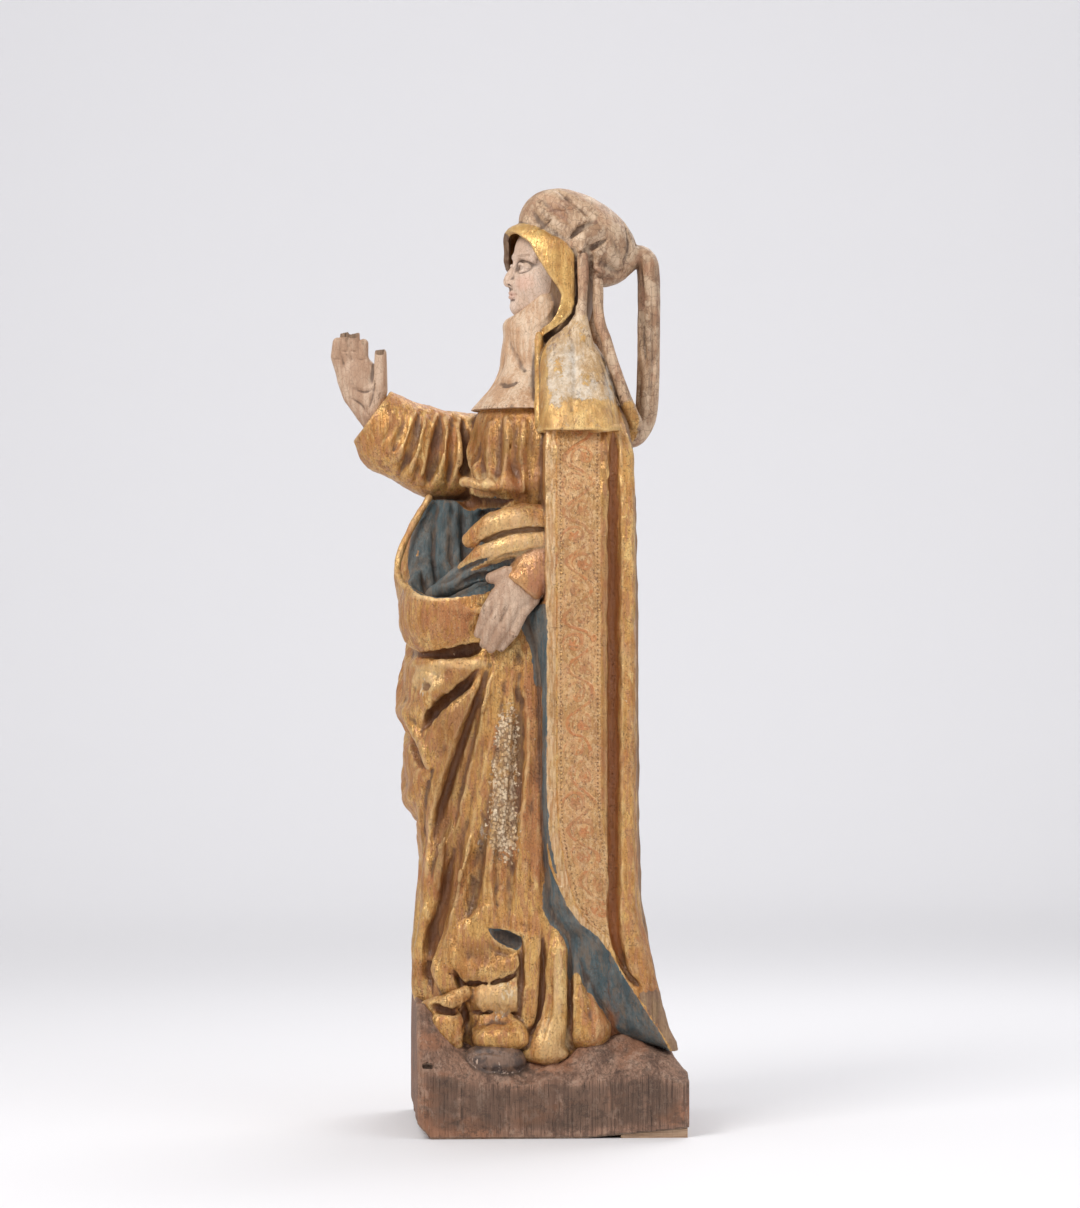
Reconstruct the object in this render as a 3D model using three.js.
// Oak figure of a standing woman saint, carved in one with its plinth, and the wooden wedge
// that levels the plinth. Millimetres, +Z up, the figure faces -Y, its left side is +X.
//
// The figure is roughed out of a block of small cells that hold the distance to the surface.
// Rounded masses are joined to the block, and cloth folds and hollows are laid on its surface
// as seen from one side. The surface is then drawn out of the block and thinned to facets.
import * as THREE from "three";

// driving sizes
const FOOT = 17; // height of the underside in the drawing, below every carved level
const GRAIN = 5; // cell size of the block
const FACETS = 9700; // triangles left on the figure
const PLINTH_HALF_DEPTH = 134; // along X
const PLINTH_FRONT = -134; // along Y
const PLINTH_BACK = 131;
const CORNER_CUT = 5; // wear along the upright corners of the plinth
const HEEL_START = 25; // the underside rises from here to the back end
const HEEL_SLOPE = 0.09;
const WEDGE_FRONT = 64; // along Y
const WEDGE_BACK = 129;
const WEDGE_LEFT = 131; // along X
const WEDGE_RIGHT = -118;
const TOUCH_GAP = 0.3;
const HEAD_TOP = 875; // middle of the skull
const FOLD_SIDE = 87; // azimuth, in degrees, of the finished side of the figure
const OTHER_SIDE = -87;
const BACK_SIDE = 180;
const FRONT_SIDE = 0;

// the side drawing is seen from this far, with these values in the middle of the view
const EYE = 4500;
const MIDDLE_ACROSS = -8;
const MIDDLE_HEIGHT = 536;

const FAR = 60;
const SLIVER = 0.08; // twice the area over the square of the longest side

function smoothMin(a, b, k) {
  if (k <= 0) return Math.min(a, b);
  const h = Math.min(1, Math.max(0, 0.5 + (0.5 * (b - a)) / k));
  return b + (a - b) * h - k * h * (1 - h);
}

// Rows of numbers turned into a smooth run of rows through them.
function spline(rows, step = 5) {
  const gap = (a, b) => Math.hypot(b[0] - a[0], b[1] - a[1], (b[2] ?? 0) - (a[2] ?? 0));
  const first = rows[0].map((v, i) => 2 * v - rows[1][i]);
  const last = rows.at(-1).map((v, i) => 2 * v - rows.at(-2)[i]);
  const all = [first, ...rows, last];
  const out = [];
  for (let i = 1; i < all.length - 2; i++) {
    const [a, b, c, d] = [all[i - 1], all[i], all[i + 1], all[i + 2]];
    const count = Math.max(2, Math.floor(gap(b, c) / step) + 1);
    for (let n = 0; n < count; n++) {
      const t = n / count;
      out.push(
        b.map((v, k) => {
          const linear = -a[k] + c[k];
          const square = 2 * a[k] - 5 * v + 4 * c[k] - d[k];
          const cube = -a[k] + 3 * v - 3 * c[k] + d[k];
          return 0.5 * (2 * v + linear * t + square * t * t + cube * t * t * t);
        }),
      );
    }
  }
  out.push(rows.at(-1).slice());
  return out;
}

// Value of each column of a sorted table at a height, straight between rows.
function between(rows, at) {
  if (at <= rows[0][0]) return rows[0].slice(1);
  for (let i = 1; i < rows.length; i++) {
    if (at <= rows[i][0]) {
      const t = (at - rows[i - 1][0]) / (rows[i][0] - rows[i - 1][0]);
      return rows[i].slice(1).map((v, k) => rows[i - 1][k + 1] * (1 - t) + v * t);
    }
  }
  return rows.at(-1).slice(1);
}

// radii spread evenly over a run of points
function spread(radii, count) {
  const table = radii.map((r, i) => [i / (radii.length - 1), r]);
  return Array.from({ length: count }, (_, i) => between(table, i / (count - 1))[0]);
}

// Chain of round cones. flat = [direction, factor] makes it thinner along the direction.
function rope(points, radii, flat = null) {
  const radius = Array.isArray(radii) ? radii : points.map(() => radii);
  const reach = Math.max(...radius);
  const low = [0, 1, 2].map((a) => Math.min(...points.map((p) => p[a])) - reach);
  const high = [0, 1, 2].map((a) => Math.max(...points.map((p) => p[a])) + reach);
  const n = flat ? new THREE.Vector3(...flat[0]).normalize() : null;
  const links = points.slice(1).map((b, i) => {
    const a = points[i];
    const d = [b[0] - a[0], b[1] - a[1], b[2] - a[2]];
    return { a, d, length2: d[0] ** 2 + d[1] ** 2 + d[2] ** 2 || 1e-6, r0: radius[i], r1: radius[i + 1] };
  });
  const distance = (x, y, z) => {
    let best = FAR;
    for (const { a, d, length2, r0, r1 } of links) {
      const px = x - a[0];
      const py = y - a[1];
      const pz = z - a[2];
      const t = Math.min(1, Math.max(0, (px * d[0] + py * d[1] + pz * d[2]) / length2));
      let qx = px - t * d[0];
      let qy = py - t * d[1];
      let qz = pz - t * d[2];
      if (n) {
        const extra = (qx * n.x + qy * n.y + qz * n.z) * (flat[1] - 1);
        qx += extra * n.x;
        qy += extra * n.y;
        qz += extra * n.z;
      }
      let away = Math.sqrt(qx * qx + qy * qy + qz * qz) - (r0 + t * (r1 - r0));
      if (n) away /= 1 + 0.5 * (flat[1] - 1);
      if (away < best) best = away;
    }
    return best;
  };
  return { low, high, distance };
}

// Egg; tilt turns it about the X axis, in degrees; power above 2 squares its shoulders.
function ball(centre, radii, tilt = 0, power = 2) {
  const reach = tilt ? radii.map(() => Math.max(...radii)) : radii;
  const cos = Math.cos(THREE.MathUtils.degToRad(tilt));
  const sin = Math.sin(THREE.MathUtils.degToRad(tilt));
  const distance = (x, y, z) => {
    const px = Math.abs(x - centre[0]) / radii[0];
    const dy = y - centre[1];
    const dz = z - centre[2];
    const py = Math.abs(dy * cos + dz * sin) / radii[1];
    const pz = Math.abs(dz * cos - dy * sin) / radii[2];
    const size = (px ** power + py ** power + pz ** power) ** (1 / power);
    const rise = Math.hypot(
      px ** (power - 1) / radii[0],
      py ** (power - 1) / radii[1],
      pz ** (power - 1) / radii[2],
    );
    return (size - 1) / Math.max(rise / Math.max(size, 1e-3) ** (power - 1), 1e-4);
  };
  return {
    low: centre.map((c, a) => c - reach[a]),
    high: centre.map((c, a) => c + reach[a]),
    distance,
  };
}

// Body between levels, each row: height, front y, back y, left x, right x.
function loft(levels, power = 2.4, backPower = power) {
  const rows = spline([...levels].sort((a, b) => a[0] - b[0]), 6);
  const bottom = rows[0][0];
  const top = rows.at(-1)[0];
  const shapes = new Map();
  const at = (z) => {
    if (!shapes.has(z)) {
      const [front, back, left, right] = between(rows, z);
      shapes.set(z, [(front + back) / 2, (left + right) / 2, (back - front) / 2, (left - right) / 2]);
    }
    return shapes.get(z);
  };
  const distance = (x, y, z) => {
    const [cy, cx, ay, ax] = at(Math.min(top, Math.max(bottom, z)));
    const p = y > cy ? backPower : power;
    const qx = Math.abs(x - cx) / ax;
    const qy = Math.abs(y - cy) / ay;
    const size = (qx ** p + qy ** p) ** (1 / p);
    const rise = Math.hypot(qx ** (p - 1) / ax, qy ** (p - 1) / ay) / Math.max(size, 1e-3) ** (p - 1);
    const around = (size - 1) / Math.max(rise, 1 / (3 * Math.max(ax, ay)));
    return Math.max(around, bottom - z, z - top);
  };
  const column = (k, pick) => pick(...rows.map((row) => row[k]));
  return {
    low: [column(4, Math.min), column(1, Math.min), bottom],
    high: [column(3, Math.max), column(2, Math.max), top],
    distance,
  };
}

// The carving block.
class Block {
  constructor(low, high) {
    this.low = low;
    this.count = low.map((v, a) => Math.ceil((high[a] - v) / GRAIN) + 1);
    this.field = new Float32Array(this.count[0] * this.count[1] * this.count[2]).fill(FAR);
  }

  index(i, j, k) {
    return (i * this.count[1] + j) * this.count[2] + k;
  }

  change(shape, margin, update) {
    const from = this.low.map((v, a) => Math.max(0, Math.floor((shape.low[a] - margin - v) / GRAIN)));
    const to = this.low.map((v, a) =>
      Math.min(this.count[a] - 1, Math.ceil((shape.high[a] + margin - v) / GRAIN)),
    );
    for (let i = from[0]; i <= to[0]; i++) {
      for (let j = from[1]; j <= to[1]; j++) {
        for (let k = from[2]; k <= to[2]; k++) {
          const place = this.index(i, j, k);
          const x = this.low[0] + i * GRAIN;
          const y = this.low[1] + j * GRAIN;
          const z = this.low[2] + k * GRAIN;
          this.field[place] = update(this.field[place], shape.distance(x, y, z));
        }
      }
    }
  }

  add(shape, blend = 0) {
    this.change(shape, 14, (old, d) => smoothMin(old, d, blend));
  }

  cut(shape, blend = 0) {
    this.change(shape, 14, (old, d) => -smoothMin(-old, d, blend));
  }

  // Point at a depth on the sight line that meets the side drawing at (across, height).
  sight(azimuth, across, height, depth) {
    const turn = THREE.MathUtils.degToRad(azimuth);
    const near = 1 - depth / EYE;
    const side = MIDDLE_ACROSS + (across - MIDDLE_ACROSS) * near;
    return [
      side * Math.cos(turn) + depth * Math.sin(turn),
      side * Math.sin(turn) - depth * Math.cos(turn),
      MIDDLE_HEIGHT + (height - MIDDLE_HEIGHT) * near,
    ];
  }

  // Depth at which the sight line first meets the wood.
  hit(azimuth, across, height) {
    let before = FAR;
    for (let depth = 200; depth > -200; depth -= GRAIN / 3) {
      const p = this.sight(azimuth, across, height, depth);
      const now = this.value(p);
      if (now < 0) return before > 20 ? depth : depth + ((GRAIN / 3) * -now) / (before - now);
      before = now;
    }
    return null;
  }

  value(p) {
    const cell = p.map((v, a) => (v - this.low[a]) / GRAIN);
    const base = cell.map(Math.floor);
    if (base.some((v, a) => v < 0 || v >= this.count[a] - 1)) return FAR;
    let sum = 0;
    for (let corner = 0; corner < 8; corner++) {
      const step = [corner & 1, (corner >> 1) & 1, corner >> 2];
      const share = step.reduce((s, on, a) => s * (on ? cell[a] - base[a] : 1 - cell[a] + base[a]), 1);
      sum += share * this.field[this.index(base[0] + step[0], base[1] + step[1], base[2] + step[2])];
    }
    return sum;
  }

  // Strokes are rows of: across, height, radius. They follow the surface met by the sight lines.
  lay(azimuth, rows, sink) {
    const run = spline(rows);
    const depths = run.map(([across, height]) => this.hit(azimuth, across, height));
    const known = depths.map((d, i) => [i, d]).filter(([, d]) => d !== null);
    if (!known.length) throw new Error("a stroke misses the block");
    const filled = depths.map((d, i) => (d === null ? between(known, i)[0] : d));
    const smooth = filled.map((d, i) => {
      const before = filled[Math.max(0, i - 1)];
      const after = filled[Math.min(filled.length - 1, i + 1)];
      return 0.25 * before + 0.5 * d + 0.25 * after;
    });
    const points = run.map(([across, height, radius], i) =>
      this.sight(azimuth, across, height, smooth[i] - sink * radius),
    );
    return rope(points, run.map((row) => row[2]));
  }

  // Raised fold; rise is the share of its radius that stands proud.
  fold(azimuth, rows, rise = 0.5, blend = 6) {
    this.add(this.lay(azimuth, rows, 1 - rise), blend);
  }

  // Hollow cut along the surface; depth is the share of its width below the surface.
  groove(azimuth, rows, depth = 0.8, blend = 4) {
    this.cut(this.lay(azimuth, rows, 2 * depth - 1), blend);
  }
}

// levels of the robe: height, front, back, left, right
const ROBE = [
  [64, -112, 90, 98, -104], [140, -120, 88, 98, -104], [180, -122, 84, 94, -102],
  [220, -118, 84, 92, -102], [260, -114, 82, 90, -100], [320, -124, 82, 88, -100],
  [380, -136, 82, 87, -102], [440, -140, 82, 86, -104], [500, -134, 82, 84, -104],
  [540, -128, 82, 82, -102], [565, -90, 82, 76, -98], [600, -66, 82, 70, -94], [640, -60, 81, 66, -90],
];
const CHEST = [
  [630, -70, 81, 74, -86], [646, -78, 81, 78, -90], [690, -77, 79, 79, -90],
  [715, -73, 77, 74, -84], [735, -66, 71, 62, -70], [752, -50, 64, 48, -54],
];
// levels of the mantle: height, front edge, width of the turned lining, back, left, right
const MANTLE = [
  [100, 112, 4, 122, 112, -116], [108, 107, 26, 120, 116, -118], [121, 99, 40, 113, 118, -120],
  [150, 80, 46, 105, 119, -122], [175, 64, 46, 99, 119, -123], [195, 53, 42, 95, 119, -122],
  [211, 42, 36, 92, 118, -121], [224, 24, 28, 89, 117, -120], [243, 10, 20, 86, 116, -119],
  [257, 6, 15, 85, 116, -118], [286, -1, 9, 84, 115, -118], [315, -6, 6, 83, 114, -117],
  [350, -8, 5, 83, 113, -116], [445, -8, 5, 83, 111, -114], [465, -8, 8, 83, 110, -114],
  [490, -8, 15, 83, 110, -113], [528, -8, 22, 83, 109, -113], [540, -8, 3, 83, 109, -112],
  [640, -8, 2, 82, 106, -109], [690, -8, 2, 80, 100, -103], [712, -6, 2, 76, 92, -95],
  [732, 0, 2, 70, 76, -80],
];
const MANTLE_ROUNDING = 32; // radius of the mantle's back corners
// ground on the plinth: place along Y and height, inside and at the rim
const GROUND_INSIDE = [
  [-145, 146], [-126, 143], [-112, 126], [-98, 113], [-78, 104], [-50, 94], [-12, 92], [6, 94],
  [22, 102], [60, 112], [96, 106], [114, 98], [126, 80], [131, 74],
];
const GROUND_RIM = [[-145, 92], [-120, 84], [-90, 74], [-20, 70], [40, 76], [100, 76], [131, 74]];

// Distance below the plinth's underside, which is flat in front and rises to the back end.
function underside(y, z) {
  const heel = FOOT + Math.max(0, y - HEEL_START) * HEEL_SLOPE;
  return heel - z;
}

function carvePlinth(block) {
  const distance = (x, y, z) => {
    const inner = between(GROUND_INSIDE, y)[0];
    const rim = between(GROUND_RIM, y)[0];
    const lump = 2.2 * Math.sin(x * 0.11 + y * 0.07) + 1.8 * Math.sin(x * 0.05 - y * 0.13 + 1);
    const inward = Math.min(1, Math.max(0, (PLINTH_HALF_DEPTH - Math.abs(x)) / 46));
    const ground = rim + (inner - rim) * inward * (2 - inward) + lump;
    const corners = Math.abs(x) + Math.abs(y + 2) - (PLINTH_HALF_DEPTH + 132 - CORNER_CUT);
    const worn = -(y - PLINTH_FRONT) - (z - FOOT) + 15;
    return Math.max(
      (z - ground) * 0.75, Math.abs(x) - PLINTH_HALF_DEPTH, PLINTH_FRONT - y, y - PLINTH_BACK,
      underside(y, z), worn * 0.7, corners * 0.7,
    );
  };
  block.add({ low: [-140, -140, 0], high: [140, 140, 165], distance });
}

function carveBody(block) {
  block.add(loft(ROBE, 2.5, 3.2), 4);
  block.add(loft(CHEST, 2.6, 3));
}

// Lap of cloth held up in front, hollow above, with fluted lining inside.
function carvePouch(block) {
  const wall = [
    [500, -140, -40, 6, -84], [540, -149, -44, 6, -84], [566, -153, -48, 4, -82],
    [592, -147, -50, 0, -80], [615, -137, -52, -4, -78], [640, -121, -54, -8, -74],
  ];
  block.add(loft(wall, 2.6), 8);
  block.add(ball([18, -92, 528], [70, 57, 48], 0, 2.4), 16);
  block.cut(ball([60, -96, 598], [58, 49, 50], 0, 2.6), 2);
  block.cut(ball([56, -104, 562], [46, 36, 24]), 4);
  for (const [across, radius] of [[-134, 4], [-122, 5.5], [-109, 6.5], [-95, 5.5], [-83, 5]]) {
    const flute = [[across + 4, 620, radius - 1], [across, 580, radius], [across + 3, 556, radius - 1.5]];
    block.fold(FOLD_SIDE, flute, 0.5, 3);
  }
  const rim = [
    [-8, -119, 642], [-2, -131, 622], [4, -144, 597], [14, -151, 572], [34, -146, 556],
    [58, -130, 544], [76, -108, 536], [86, -84, 530], [90, -62, 530],
  ];
  block.add(rope(spline(rim), 3.6), 5);
}

// Rolls of cloth round the waist, and the lining that is turned over below them.
function carveWaist(block) {
  block.fold(FOLD_SIDE, [[2, 624, 9], [-38, 618, 10], [-62, 612, 7]], 0.9, 5);
  block.fold(FOLD_SIDE, [[2, 606, 8], [-38, 596, 10], [-72, 585, 8]], 1.0, 4);
  block.groove(FOLD_SIDE, [[2, 614, 3], [-38, 606, 3.5], [-68, 598, 3]], 0.9, 2);
  block.fold(FOLD_SIDE, [[-66, 618, 3.5], [-78, 596, 4.5], [-87, 575, 4], [-96, 558, 3]], 0.9, 3);
  const roll = spline([
    [44, -116, 545], [58, -98, 556], [70, -80, 567], [78, -60, 571], [84, -42, 578], [86, -26, 586],
  ]);
  block.add(rope(roll, spread([8, 12, 11, 6], roll.length)), 5);
  block.groove(FOLD_SIDE, [[-92, 552, 3], [-74, 563, 4], [-52, 566, 5], [-28, 580, 3]], 0.8, 2);
}

// Folds that fan out from the hand that gathers the robe.
function carveSkirt(block) {
  block.groove(FOLD_SIDE, [[-66, 492, 9], [-92, 487, 10], [-116, 484, 8], [-136, 484, 4]], 1.0, 3);
  block.fold(FOLD_SIDE, [[-64, 478, 6], [-92, 476, 6], [-120, 476, 5], [-138, 477, 4]], 0.9, 4);
  const ridges = [
    [[[-49, 478, 7], [-68, 432, 11], [-91, 362, 13], [-107, 292, 13], [-117, 222, 11], [-123, 180, 8]], 0.65],
    [[[-42, 478, 6], [-57, 402, 9], [-77, 322, 11], [-90, 252, 11], [-98, 195, 10]], 0.5],
    [[[-35, 480, 6], [-40, 420, 9], [-50, 350, 11], [-55, 280, 11], [-56, 218, 9]], 0.55],
    [[[-16, 500, 8], [-16, 420, 14], [-15, 340, 16], [-15, 280, 16], [-15, 225, 14]], 0.3],
  ];
  for (const [rows, rise] of ridges) block.fold(FOLD_SIDE, rows, rise, 6);
  const valleys = [
    [[-62, 462, 4], [-82, 405, 7], [-106, 340, 8], [-117, 290, 7], [-116, 262, 3]],
    [[-50, 455, 3], [-68, 384, 5], [-87, 312, 6], [-98, 252, 6], [-104, 200, 4]],
    [[-40, 455, 3], [-49, 392, 4], [-62, 322, 5], [-71, 252, 5], [-76, 215, 3]],
  ];
  for (const rows of valleys) block.groove(FOLD_SIDE, rows, 0.85, 3);
  // crossing folds at the front
  block.fold(FOLD_SIDE, [[-70, 474, 6], [-97, 454, 9], [-122, 430, 9], [-140, 418, 6]], 0.8, 5);
  block.groove(FOLD_SIDE, [[-76, 458, 4], [-98, 440, 7], [-118, 420, 8], [-132, 410, 4]], 0.95, 2);
  block.fold(FOLD_SIDE, [[-88, 430, 5], [-104, 408, 7], [-119, 380, 7]], 0.6, 4);
  block.fold(FOLD_SIDE, [[-147, 424, 5], [-138, 400, 6], [-122, 376, 6]], 0.9, 4);
  block.groove(FOLD_SIDE, [[-134, 408, 6], [-128, 394, 7], [-122, 384, 3]], 0.95, 2);
}

// Hem of the robe, the folds that lie on the ground and the shoe.
function carveHem(block) {
  block.add(ball([84, -60, 196], [16, 46, 34], 0, 2.4), 8);
  block.fold(FOLD_SIDE, [[-96, 190, 6], [-84, 172, 9], [-62, 164, 9], [-40, 172, 8], [-28, 186, 5]], 0.7);
  block.groove(FOLD_SIDE, [[-56, 208, 4], [-46, 203, 8], [-36, 197, 10], [-27, 190, 6]], 1.0, 2);
  block.groove(FOLD_SIDE, [[-88, 168, 4], [-84, 150, 5], [-82, 134, 5]], 0.9, 3);
  block.fold(FOLD_SIDE, [[-76, 146, 11], [-52, 146, 15], [-26, 152, 11]], 0.9, 6);
  block.groove(FOLD_SIDE, [[-78, 128, 2.5], [-50, 127, 3.5], [-30, 129, 2.5]], 1.0, 2);
  block.add(ball([102, -56, 116], [20, 27, 17]), 5);
  block.add(ball([106, -59, 92], [22, 27, 15], 0, 2.3), 2);
  block.fold(FOLD_SIDE, [[-14, 212, 6], [-15, 160, 7], [-16, 124, 8]], 0.9, 4);
  const foot = [
    [92, -8, 226], [97, -2, 196], [100, 0, 158], [106, -2, 126], [113, -8, 106], [118, -9, 93],
  ];
  block.add(rope(foot, [5, 8, 10, 13, 16, 17]), 4);
  const cone = [[88, 21, 206], [92, 28, 172], [95, 34, 138], [99, 39, 108]];
  block.add(rope(cone, [6, 10, 17, 23]), 4);
  block.groove(FOLD_SIDE, [[-6, 206, 3], [-7, 150, 3.5], [-12, 124, 4], [-22, 108, 3]], 0.9, 2);
  block.groove(FOLD_SIDE, [[19, 204, 3], [20, 150, 4], [21, 98, 4]], 0.95, 2);
  block.fold(FOLD_SIDE, [[-127, 222, 7], [-131, 182, 9], [-130, 146, 10]], 0.9, 5);
  block.fold(FOLD_SIDE, [[-112, 200, 8], [-110, 168, 10], [-100, 142, 9]], 0.8, 5);
  block.groove(FOLD_SIDE, [[-104, 240, 3], [-119, 204, 4], [-122, 170, 4], [-118, 150, 3]], 0.9, 3);
  const loop = [[88, -128, 152], [100, -120, 134], [106, -104, 113], [105, -91, 118], [98, -85, 138]];
  block.add(rope(spline(loop), 9), 3);
  block.groove(FOLD_SIDE, [[-114, 133, 3], [-104, 132, 5.5], [-94, 130, 4]], 1.2, 2);
}

function carveMantle(block) {
  const distance = (x, y, z) => {
    const [edge, lining, rear, left, right] = between(MANTLE, z);
    const half = x > 0 ? left : -right;
    const back = Math.max(rear, edge + 3);
    const behind = y - (back - MANTLE_ROUNDING);
    const beside = Math.abs(x) - (half - MANTLE_ROUNDING);
    const round = Math.hypot(Math.max(behind, 0), Math.max(beside, 0));
    const wall = (behind > 0 && beside > 0 ? round : Math.max(behind, beside)) - MANTLE_ROUNDING;
    const slope = x > 0 ? lining / 26 : 0.1;
    const front = (edge - y - (half - Math.abs(x)) * slope) / Math.hypot(1, slope);
    return Math.max(wall, front, 99 - z, z - 733);
  };
  block.add({ low: [-126, -32, 99], high: [126, 124, 733], distance });
  const groove = [
    [61, 704, 4], [60, 600, 5], [59, 450, 5], [60, 300, 5], [62, 230, 6], [70, 192, 7], [84, 165, 6],
    [92, 150, 4],
  ];
  block.groove(FOLD_SIDE, groove, 0.95, 2);
  const tube = [[74, 704, 8], [74, 600, 9], [74, 450, 9], [74, 300, 9.5], [77, 225, 10], [86, 185, 11], [97, 158, 9]];
  block.fold(FOLD_SIDE, tube, 0.3, 4);
}

// Cloth drawn across the front from the right hip, with pipes that fall to the ground below it.
function carveFront(block) {
  const swags = [
    [[[-84, 600, 5], [-44, 528, 8], [8, 489, 9], [50, 484, 7]], 0.9],
    [[[-86, 520, 5], [-52, 438, 8], [-2, 398, 9], [40, 402, 5]], 0.8],
    [[[-86, 440, 5], [-60, 352, 7], [-16, 306, 8], [26, 318, 5]], 0.75],
  ];
  for (const [rows, depth] of swags) block.groove(FRONT_SIDE, rows, depth, 5);
  const rolls = [
    [[-88, 566, 8], [-56, 482, 10], [-6, 430, 12], [44, 428, 10], [70, 446, 7]],
    [[-90, 484, 8], [-64, 394, 10], [-18, 340, 12], [28, 342, 10], [60, 376, 7]],
  ];
  for (const rows of rolls) block.fold(FRONT_SIDE, rows, 0.6, 8);
  for (const [top, bottom, height] of [[-82, -88, 400], [-52, -58, 300], [-22, -26, 270], [10, 8, 270], [42, 44, 300]]) {
    const middle = (top + bottom) / 2;
    block.fold(FRONT_SIDE, [[top, height, 7], [middle, height / 2 + 80, 11], [bottom, 150, 12]], 0.5, 7);
  }
  for (const [across, height] of [[-68, 330], [-38, 270], [-7, 260], [26, 270]]) {
    block.groove(FRONT_SIDE, [[across, height, 4], [across - 2, 210, 6], [across - 3, 160, 4]], 0.7, 4);
  }
  for (const side of [1, -1]) {
    block.groove(FRONT_SIDE, [[38 * side, 704, 3.5], [26 * side, 668, 4.5], [15 * side, 636, 3.5]], 0.7, 4);
  }
}

// Plainer folds on the right side and on the back, which stood out of sight.
function carveHiddenSides(block) {
  for (const across of [102, 72, 42]) {
    block.fold(OTHER_SIDE, [[across, 470, 8], [across + 3, 320, 11], [across + 5, 150, 11]], 0.45, 7);
  }
  for (const across of [-62, -30]) {
    block.groove(OTHER_SIDE, [[across, 680, 4], [across - 2, 450, 6], [across - 4, 250, 7], [across - 8, 150, 5]], 0.8);
  }
  for (const across of [-52, -18, 16, 50]) {
    block.groove(BACK_SIDE, [[across * 0.8, 690, 4], [across, 450, 6], [across * 1.1, 140, 7]], 0.6, 5);
  }
}

function carveVeil(block) {
  const wimple = [
    [720, -78, 40, 56, -58], [738, -71, 30, 54, -56], [760, -60, 20, 46, -47], [780, -50, 18, 42, -42],
    [800, -45, 18, 39, -39], [820, -43, 18, 38, -38], [836, -38, 20, 37, -37],
  ];
  block.add(loft(wimple, 2.2), 2);
  const cape = [
    [706, -16, 70, 110, -114], [722, -16, 68, 105, -110], [742, -15, 64, 95, -100],
    [762, -13, 59, 82, -87], [782, -10, 53, 68, -71], [798, -3, 43, 57, -60], [812, 9, 37, 51, -53],
    [826, 17, 33, 47, -49],
  ];
  block.add(loft(cape, 2.7));
  for (const side of [1, -1]) {
    const strip = [[44, -14, 812], [51, -16, 798], [68, -17, 774], [89, -18, 744], [102, -18, 710]];
    block.add(rope(spline(strip.map(([x, y, z]) => [x * side, y, z])), 6.5), 5);
  }
}

function carveHead(block) {
  // hood: an open shell, pulled further forward over the right cheek than over the left
  const shell = [
    [800, 0, 50, 46, -46], [815, -14, 50, 48, -48], [832, -34, 50, 49, -49], [850, -46, 50, 49, -49],
    [870, -48, 50, 48, -48], [890, -49, 48, 46, -46], [902, -49, 46, 42, -42], [911, -44, 42, 35, -35],
    [917, -30, 34, 24, -24],
  ];
  const outside = loft(shell, 2.2);
  const hollow = shell.slice(0, -1).map(([z, f, k, l, r]) => [z, f + 7, k - 8, l - 7, r + 7]);
  const inside = loft(hollow, 2.2);
  const leftEdge = [
    [798, -14], [810, -9], [819, 6], [831, 16], [842, 13], [868, -4], [892, -20], [902, -32], [912, -50],
  ];
  const rightEdge = [[810, 0], [840, -4], [856, -22], [868, -40], [880, -52]];
  const distance = (x, y, z) => {
    const toLeft = Math.min(1, Math.max(0, (x + 20) / 40));
    const edge = between(rightEdge, z)[0] * (1 - toLeft) + between(leftEdge, z)[0] * toLeft;
    return Math.max(outside.distance(x, y, z), -inside.distance(x, y, z), (edge - y) * 0.75);
  };
  block.add({ low: outside.low, high: outside.high, distance });
  // face: skull, jaw, nose, brow, sockets, lips and chin on the thirds of the face
  block.add(ball([0, -2, HEAD_TOP - 3], [34, 40, 46]));
  block.add(ball([0, -18, HEAD_TOP - 29], [26, 24, 24]), 10);
  block.add(rope([[0, -40, HEAD_TOP - 2], [0, -46, HEAD_TOP - 18]], [3.5, 5]), 5);
  block.add(ball([0, -37, HEAD_TOP - 42], [9, 8, 7]), 6);
  for (const side of [1, -1]) block.cut(ball([13 * side, -42, HEAD_TOP - 5], [9, 6, 6]), 4);
}

// Padded roll of the headdress, its two hanging strips and the lappet looped behind.
function carveHeaddress(block) {
  block.add(ball([0, 30, 902], [46, 63, 42], -30, 2.15));
  for (const side of [1, -1]) {
    const place = (rows) => spline(rows.map(([x, y, z]) => [x * side, y, z]));
    block.add(rope(place([[44, 30, 892], [48, 33, 876], [50, 33, 850], [50, 33, 806]]), 6.5), 4);
    const long = place([
      [42, 48, 880], [46, 47, 850], [48, 48, 818], [52, 55, 796], [58, 62, 770], [58, 72, 742],
      [48, 84, 714],
    ]);
    block.add(rope(long, spread([6.5, 7, 8.5], long.length)), 4);
    block.add(rope(place([[43, 22, 890], [44, 38, 903], [38, 54, 909]]), 5), 2);
  }
  const lappet = spline([
    [0, 76, 876], [0, 88, 884], [0, 98, 879], [0, 101, 860], [0, 101, 800], [0, 100, 750],
    [0, 97, 722], [0, 88, 706], [0, 74, 702],
  ]);
  block.add(rope(lappet, 11.5, [[1, 0, 0], 0.7]), 3);
}

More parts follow.
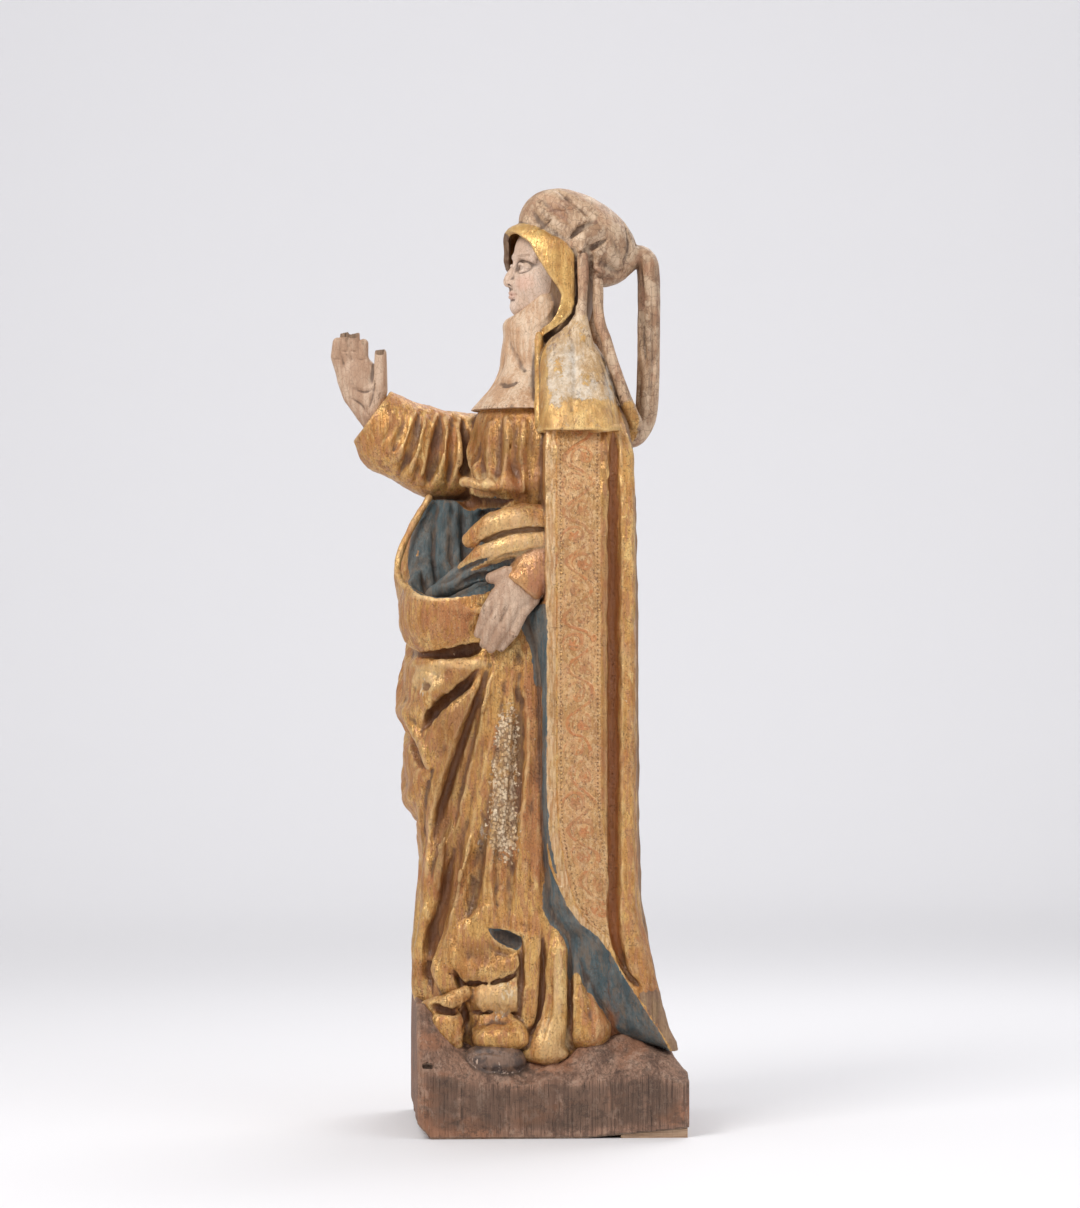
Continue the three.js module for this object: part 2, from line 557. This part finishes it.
function carveRaisedArm(block) {
  const sleeve = spline([
    [-52, -50, 680], [-46, -84, 683], [-36, -108, 686], [-32, -128, 694], [-30, -150, 707],
    [-30, -166, 718],
  ]);
  const arm = rope(sleeve, spread([42, 46, 46, 43, 38, 33], sleeve.length));
  const cuff = (y, z) => (-(y + 173)) * 0.81 + (z - 720) * 0.59;
  const distance = (x, y, z) => Math.max(arm.distance(x, y, z), cuff(y, z));
  block.add({ low: arm.low, high: arm.high, distance }, 3);
  const rings = [
    [-136, 728, -158, 664, 4, 0.8], [-122, 730, -146, 654, 4.5, 0.9], [-108, 726, -126, 648, 6, 1],
    [-86, 722, -85, 652, 5, 1],
  ];
  for (const [y0, z0, y1, z1, radius, depth] of rings) {
    const rows = [[y0, z0, radius * 0.7], [(y0 + y1) / 2 + 3, (z0 + z1) / 2, radius], [y1, z1, radius * 0.7]];
    block.groove(FOLD_SIDE, rows, depth, 3);
  }
  const palm = [[-24, -166, 706], [-24, -174, 726], [-24, -183, 748], [-24, -190, 768]];
  block.add(rope(palm, [15, 18, 23, 22], [[1, 0, 0], 1.8]), 3);
  const fingers = [
    [[-209, 764], [-213, 783], [-212, 797], 7], [[-199, 770], [-203, 792], [-203, 806], 7],
    [[-190, 772], [-193, 794], [-192, 807], 7], [[-181, 770], [-183, 782], [-184, 793], 7],
  ];
  for (const [root, middle, tip, radius] of fingers) {
    const bones = [[-24, root[0] + 6, root[1] - 22], [-24, ...root], [-24, ...middle], [-24, ...tip]];
    block.add(rope(bones, [radius, radius, radius, radius * 0.85]), 2);
  }
  const thumb = [[-21, -176, 728], [-20, -170, 752], [-19, -170, 772], [-19, -170, 788]];
  block.add(rope(thumb, [9, 8.5, 8, 7]), 3);
}

function carveLoweredHand(block) {
  block.add(rope([[88, -2, 583], [91, -20, 568]], [22, 20], [[1, 0, 0], 1.3]), 3);
  const back = [[92, -16, 568], [97, -30, 554], [100, -42, 541], [101, -50, 530]];
  block.add(rope(back, [13, 16, 19, 18], [[1, 0, 0], 1.6]), 2);
  for (let finger = 0; finger < 4; finger++) {
    const y = -36 - 9.5 * finger;
    const z = 519 + 6.5 * finger;
    const bones = [[102, y + 5, z + 14], [106, y - 2, z + 2], [103, y - 12, z - 16], [94, y - 17, z - 26]];
    block.add(rope(bones, [7, 7, 6.4, 5.6]), 2);
  }
}

// Surface of the block: each cell is split into six tetrahedra, so the surface is always closed.
function drawSurface(block) {
  const [nx, ny, nz] = block.count;
  const corners = [[0, 0, 0], [1, 0, 0], [0, 1, 0], [1, 1, 0], [0, 0, 1], [1, 0, 1], [0, 1, 1], [1, 1, 1]];
  const tetrahedra = [[0, 1, 3, 7], [0, 3, 2, 7], [0, 2, 6, 7], [0, 6, 4, 7], [0, 4, 5, 7], [0, 5, 1, 7]];
  const points = [];
  const triangles = [];
  const known = new Map();
  const crossing = (a, b) => {
    const [p, q] = a.place < b.place ? [a, b] : [b, a];
    const key = p.place * nx * ny * nz + q.place;
    if (!known.has(key)) {
      const t = Math.min(0.9, Math.max(0.1, p.value / (p.value - q.value)));
      known.set(key, points.length);
      points.push([0, 1, 2].map((k) => block.low[k] + GRAIN * (p.at[k] + t * (q.at[k] - p.at[k]))));
    }
    return known.get(key);
  };
  const emit = (a, b, c, inner) => {
    const [pa, pb, pc] = [points[a], points[b], points[c]].map((p) => new THREE.Vector3(...p));
    const normal = pb.clone().sub(pa).cross(pc.clone().sub(pa));
    const hub = new THREE.Vector3(...inner.at.map((v, k) => block.low[k] + GRAIN * v));
    const outward = normal.dot(pa.clone().sub(hub)) > 0;
    triangles.push(outward ? [a, b, c] : [a, c, b]);
  };
  for (let i = 0; i < nx - 1; i++) {
    for (let j = 0; j < ny - 1; j++) {
      for (let k = 0; k < nz - 1; k++) {
        const cell = corners.map(([di, dj, dk]) => {
          const place = block.index(i + di, j + dj, k + dk);
          return { place, value: block.field[place] || 1e-6, at: [i + di, j + dj, k + dk] };
        });
        const below = cell.filter((c) => c.value < 0).length;
        if (below === 0 || below === 8) continue;
        for (const four of tetrahedra) {
          const inner = four.map((n) => cell[n]).filter((c) => c.value < 0);
          const outer = four.map((n) => cell[n]).filter((c) => c.value >= 0);
          if (inner.length === 1) {
            const [a, b, c] = outer.map((o) => crossing(inner[0], o));
            emit(a, b, c, inner[0]);
          } else if (inner.length === 3) {
            const [a, b, c] = inner.map((v) => crossing(v, outer[0]));
            emit(a, b, c, inner[0]);
          } else if (inner.length === 2) {
            const a = crossing(inner[0], outer[0]);
            const b = crossing(inner[0], outer[1]);
            const c = crossing(inner[1], outer[1]);
            const d = crossing(inner[1], outer[0]);
            emit(a, b, c, inner[0]);
            emit(a, c, d, inner[0]);
          }
        }
      }
    }
  }
  return { points, triangles };
}

// Leaves out the walls of bubbles that are closed inside the wood.
function outerShell({ points, triangles }) {
  const leader = points.map((_, v) => v);
  const find = (v) => {
    while (leader[v] !== v) v = leader[v] = leader[leader[v]];
    return v;
  };
  for (const [a, b, c] of triangles) {
    leader[find(b)] = find(a);
    leader[find(c)] = find(a);
  }
  const size = new Map();
  for (const [a] of triangles) size.set(find(a), (size.get(find(a)) ?? 0) + 1);
  const [largest] = [...size].reduce((x, y) => (y[1] > x[1] ? y : x));
  return { points, triangles: triangles.filter(([a]) => find(a) === largest) };
}

// Sorted list of edges by cost: the cheapest is always first.
class Queue {
  constructor() {
    this.items = [];
  }

  push(item) {
    const list = this.items;
    let at = list.push(item) - 1;
    while (at > 0) {
      const up = (at - 1) >> 1;
      if (list[up].cost <= list[at].cost) break;
      [list[up], list[at]] = [list[at], list[up]];
      at = up;
    }
  }

  pop() {
    const list = this.items;
    const first = list[0];
    const last = list.pop();
    if (list.length) {
      list[0] = last;
      let at = 0;
      for (;;) {
        let low = at;
        for (const down of [2 * at + 1, 2 * at + 2]) {
          if (down < list.length && list[down].cost < list[low].cost) low = down;
        }
        if (low === at) break;
        [list[low], list[at]] = [list[at], list[low]];
        at = low;
      }
    }
    return first;
  }
}

// Joins the edge whose removal moves the surface least, until few enough facets are left.
function thin({ points, triangles }, target) {
  const round = points.map(() => new Set());
  const form = points.map(() => new Float64Array(10));
  const version = new Int32Array(points.length);
  const gone = new Uint8Array(points.length);
  const dead = new Uint8Array(triangles.length);
  let left = triangles.length;

  const cross = ([a, b, c]) => {
    const [p, q, r] = [points[a], points[b], points[c]];
    const [ux, uy, uz] = [q[0] - p[0], q[1] - p[1], q[2] - p[2]];
    const [vx, vy, vz] = [r[0] - p[0], r[1] - p[1], r[2] - p[2]];
    return [uy * vz - uz * vy, uz * vx - ux * vz, ux * vy - uy * vx];
  };
  triangles.forEach((corners, index) => {
    const n = cross(corners);
    const size = Math.hypot(...n) || 1e-12;
    const [nx, ny, nz] = n.map((v) => v / size);
    const [px, py, pz] = points[corners[0]];
    const offset = -(nx * px + ny * py + nz * pz);
    const terms = [
      nx * nx, nx * ny, nx * nz, nx * offset, ny * ny, ny * nz, ny * offset, nz * nz, nz * offset,
      offset * offset,
    ];
    for (const corner of corners) {
      round[corner].add(index);
      terms.forEach((value, k) => (form[corner][k] += (value * size) / 2));
    }
  });

  const error = (q, [x, y, z]) =>
    q[0] * x * x + q[4] * y * y + q[7] * z * z + q[9] +
    2 * (q[1] * x * y + q[2] * x * z + q[5] * y * z + q[3] * x + q[6] * y + q[8] * z);

  const bestPoint = (q, a, b) => {
    const middle = points[a].map((v, k) => (v + points[b][k]) / 2);
    const length = Math.hypot(...points[a].map((v, k) => v - points[b][k]));
    const matrix = new THREE.Matrix3().set(q[0], q[1], q[2], q[1], q[4], q[5], q[2], q[5], q[7]);
    const size = q[0] + q[4] + q[7];
    if (Math.abs(matrix.determinant()) > 1e-3 * size ** 3) {
      const p = new THREE.Vector3(-q[3], -q[6], -q[8]).applyMatrix3(matrix.invert()).toArray();
      if (Math.hypot(...p.map((v, k) => v - middle[k])) < length) return p;
    }
    return [points[a], points[b], middle].reduce((x, y) => (error(q, y) < error(q, x) ? y : x)).slice();
  };

  const queue = new Queue();
  const offer = (a, b) => {
    const q = form[a].map((v, k) => v + form[b][k]);
    const point = bestPoint(q, a, b);
    const length2 = points[a].reduce((s, v, k) => s + (v - points[b][k]) ** 2, 0);
    const cost = Math.max(0, error(q, point)) + 0.004 * length2;
    queue.push({ cost, a, b, point, stamp: version[a] + version[b] });
  };
  const neighbours = (v) => {
    const out = new Set();
    for (const t of round[v]) for (const c of triangles[t]) if (c !== v) out.add(c);
    return out;
  };
  // a facet must not turn over or become a sliver when its corner moves
  const staysGood = (v, other, point) => {
    const mean = [0, 0, 0];
    for (const t of round[v]) cross(triangles[t]).forEach((value, k) => (mean[k] += value));
    for (const t of round[v]) {
      const corners = triangles[t];
      if (corners.includes(other)) continue;
      const before = cross(corners);
      const oldShape = Math.hypot(...before) / longest2(corners.map((c) => points[c]));
      const keep = points[v];
      points[v] = point;
      const after = cross(corners);
      const newShape = Math.hypot(...after) / longest2(corners.map((c) => points[c]));
      points[v] = keep;
      if (newShape < SLIVER && newShape < oldShape) return false;
      const compass = oldShape < SLIVER ? mean : before;
      if (dot(compass, after) < 0.2 * Math.hypot(...compass) * Math.hypot(...after)) return false;
    }
    return true;
  };
  for (let v = 0; v < points.length; v++) for (const n of neighbours(v)) if (n > v) offer(v, n);

  while (left > target && queue.items.length) {
    const { a, b, point, stamp } = queue.pop();
    if (gone[a] || gone[b] || stamp !== version[a] + version[b]) continue;
    const beside = neighbours(b);
    const shared = [...neighbours(a)].filter((v) => beside.has(v));
    if (shared.length !== 2) continue;
    if (!staysGood(a, b, point) || !staysGood(b, a, point)) continue;
    points[a] = point;
    form[a].forEach((v, k) => (form[a][k] = v + form[b][k]));
    for (const t of round[b]) {
      if (triangles[t].includes(a)) {
        dead[t] = 1;
        left -= 1;
        for (const c of triangles[t]) if (c !== b) round[c].delete(t);
      } else {
        triangles[t] = triangles[t].map((c) => (c === b ? a : c));
        round[a].add(t);
      }
    }
    round[b].clear();
    gone[b] = 1;
    version[a] += 1 + version[b];
    for (const n of neighbours(a)) offer(a, n);
  }
  return { points, triangles: triangles.filter((_, t) => !dead[t]) };
}

function dot(p, q) {
  return p[0] * q[0] + p[1] * q[1] + p[2] * q[2];
}

function longest2([p, q, r]) {
  const gap2 = (a, b) => (a[0] - b[0]) ** 2 + (a[1] - b[1]) ** 2 + (a[2] - b[2]) ** 2;
  return Math.max(gap2(p, q), gap2(q, r), gap2(r, p));
}

function toGeometry({ points, triangles }) {
  const place = new Map();
  const position = [];
  const index = [];
  for (const corner of triangles.flat()) {
    if (!place.has(corner)) {
      place.set(corner, position.length / 3);
      position.push(...points[corner]);
    }
    index.push(place.get(corner));
  }
  const geometry = new THREE.BufferGeometry();
  geometry.setAttribute("position", new THREE.Float32BufferAttribute(position, 3));
  geometry.setIndex(index);
  geometry.computeVertexNormals();
  return geometry;
}

function makeFigure() {
  const block = new Block([-151.5, -241.5, 4.5], [152, 153, 962]);
  carveBody(block);
  carvePouch(block);
  carveWaist(block);
  carveFront(block);
  carveSkirt(block);
  carveHem(block);
  carveMantle(block);
  carveHiddenSides(block);
  carveVeil(block);
  carveHead(block);
  carveHeaddress(block);
  carveRaisedArm(block);
  carveLoweredHand(block);
  carvePlinth(block);
  const surface = thin(outerShell(drawSurface(block)), FACETS);
  for (const p of surface.points) if (Math.abs(p[2] - FOOT) < 0.02) p[2] = FOOT;
  return toGeometry(surface);
}

// The wedge follows the rising underside of the plinth.
function makeWedge() {
  const top = (y) => FOOT + (y - HEEL_START) * HEEL_SLOPE - TOUCH_GAP;
  const outline = new THREE.Shape();
  outline.moveTo(WEDGE_FRONT, FOOT);
  outline.lineTo(WEDGE_BACK, FOOT);
  outline.lineTo(WEDGE_BACK, top(WEDGE_BACK));
  outline.lineTo(WEDGE_FRONT, top(WEDGE_FRONT));
  outline.closePath();
  const geometry = new THREE.ExtrudeGeometry(outline, { depth: WEDGE_LEFT - WEDGE_RIGHT, bevelEnabled: false });
  // the outline is drawn in Y and Z and pushed along X
  const turn = new THREE.Matrix4().makeBasis(
    new THREE.Vector3(0, 1, 0), new THREE.Vector3(0, 0, 1), new THREE.Vector3(1, 0, 0),
  );
  geometry.applyMatrix4(turn);
  geometry.translate(WEDGE_RIGHT, 0, 0);
  return geometry;
}

function makePiece(name, geometry, color, roughness, metalness) {
  const material = new THREE.MeshStandardMaterial({ color, roughness, metalness });
  const mesh = new THREE.Mesh(geometry, material);
  mesh.name = name;
  return mesh;
}

const statue = new THREE.Group();
statue.name = "saint_statue";
statue.add(makePiece("figure", makeFigure(), 0xa8783c, 0.55, 0.25));
statue.add(makePiece("levelling_wedge", makeWedge(), 0xa38560, 0.8, 0));

// the origin is the middle of the bottom of the whole
const bounds = new THREE.Box3().setFromObject(statue);
for (const piece of statue.children) {
  const x = -(bounds.min.x + bounds.max.x) / 2;
  const y = -(bounds.min.y + bounds.max.y) / 2;
  piece.geometry.translate(x, y, -bounds.min.z);
}

export default statue;
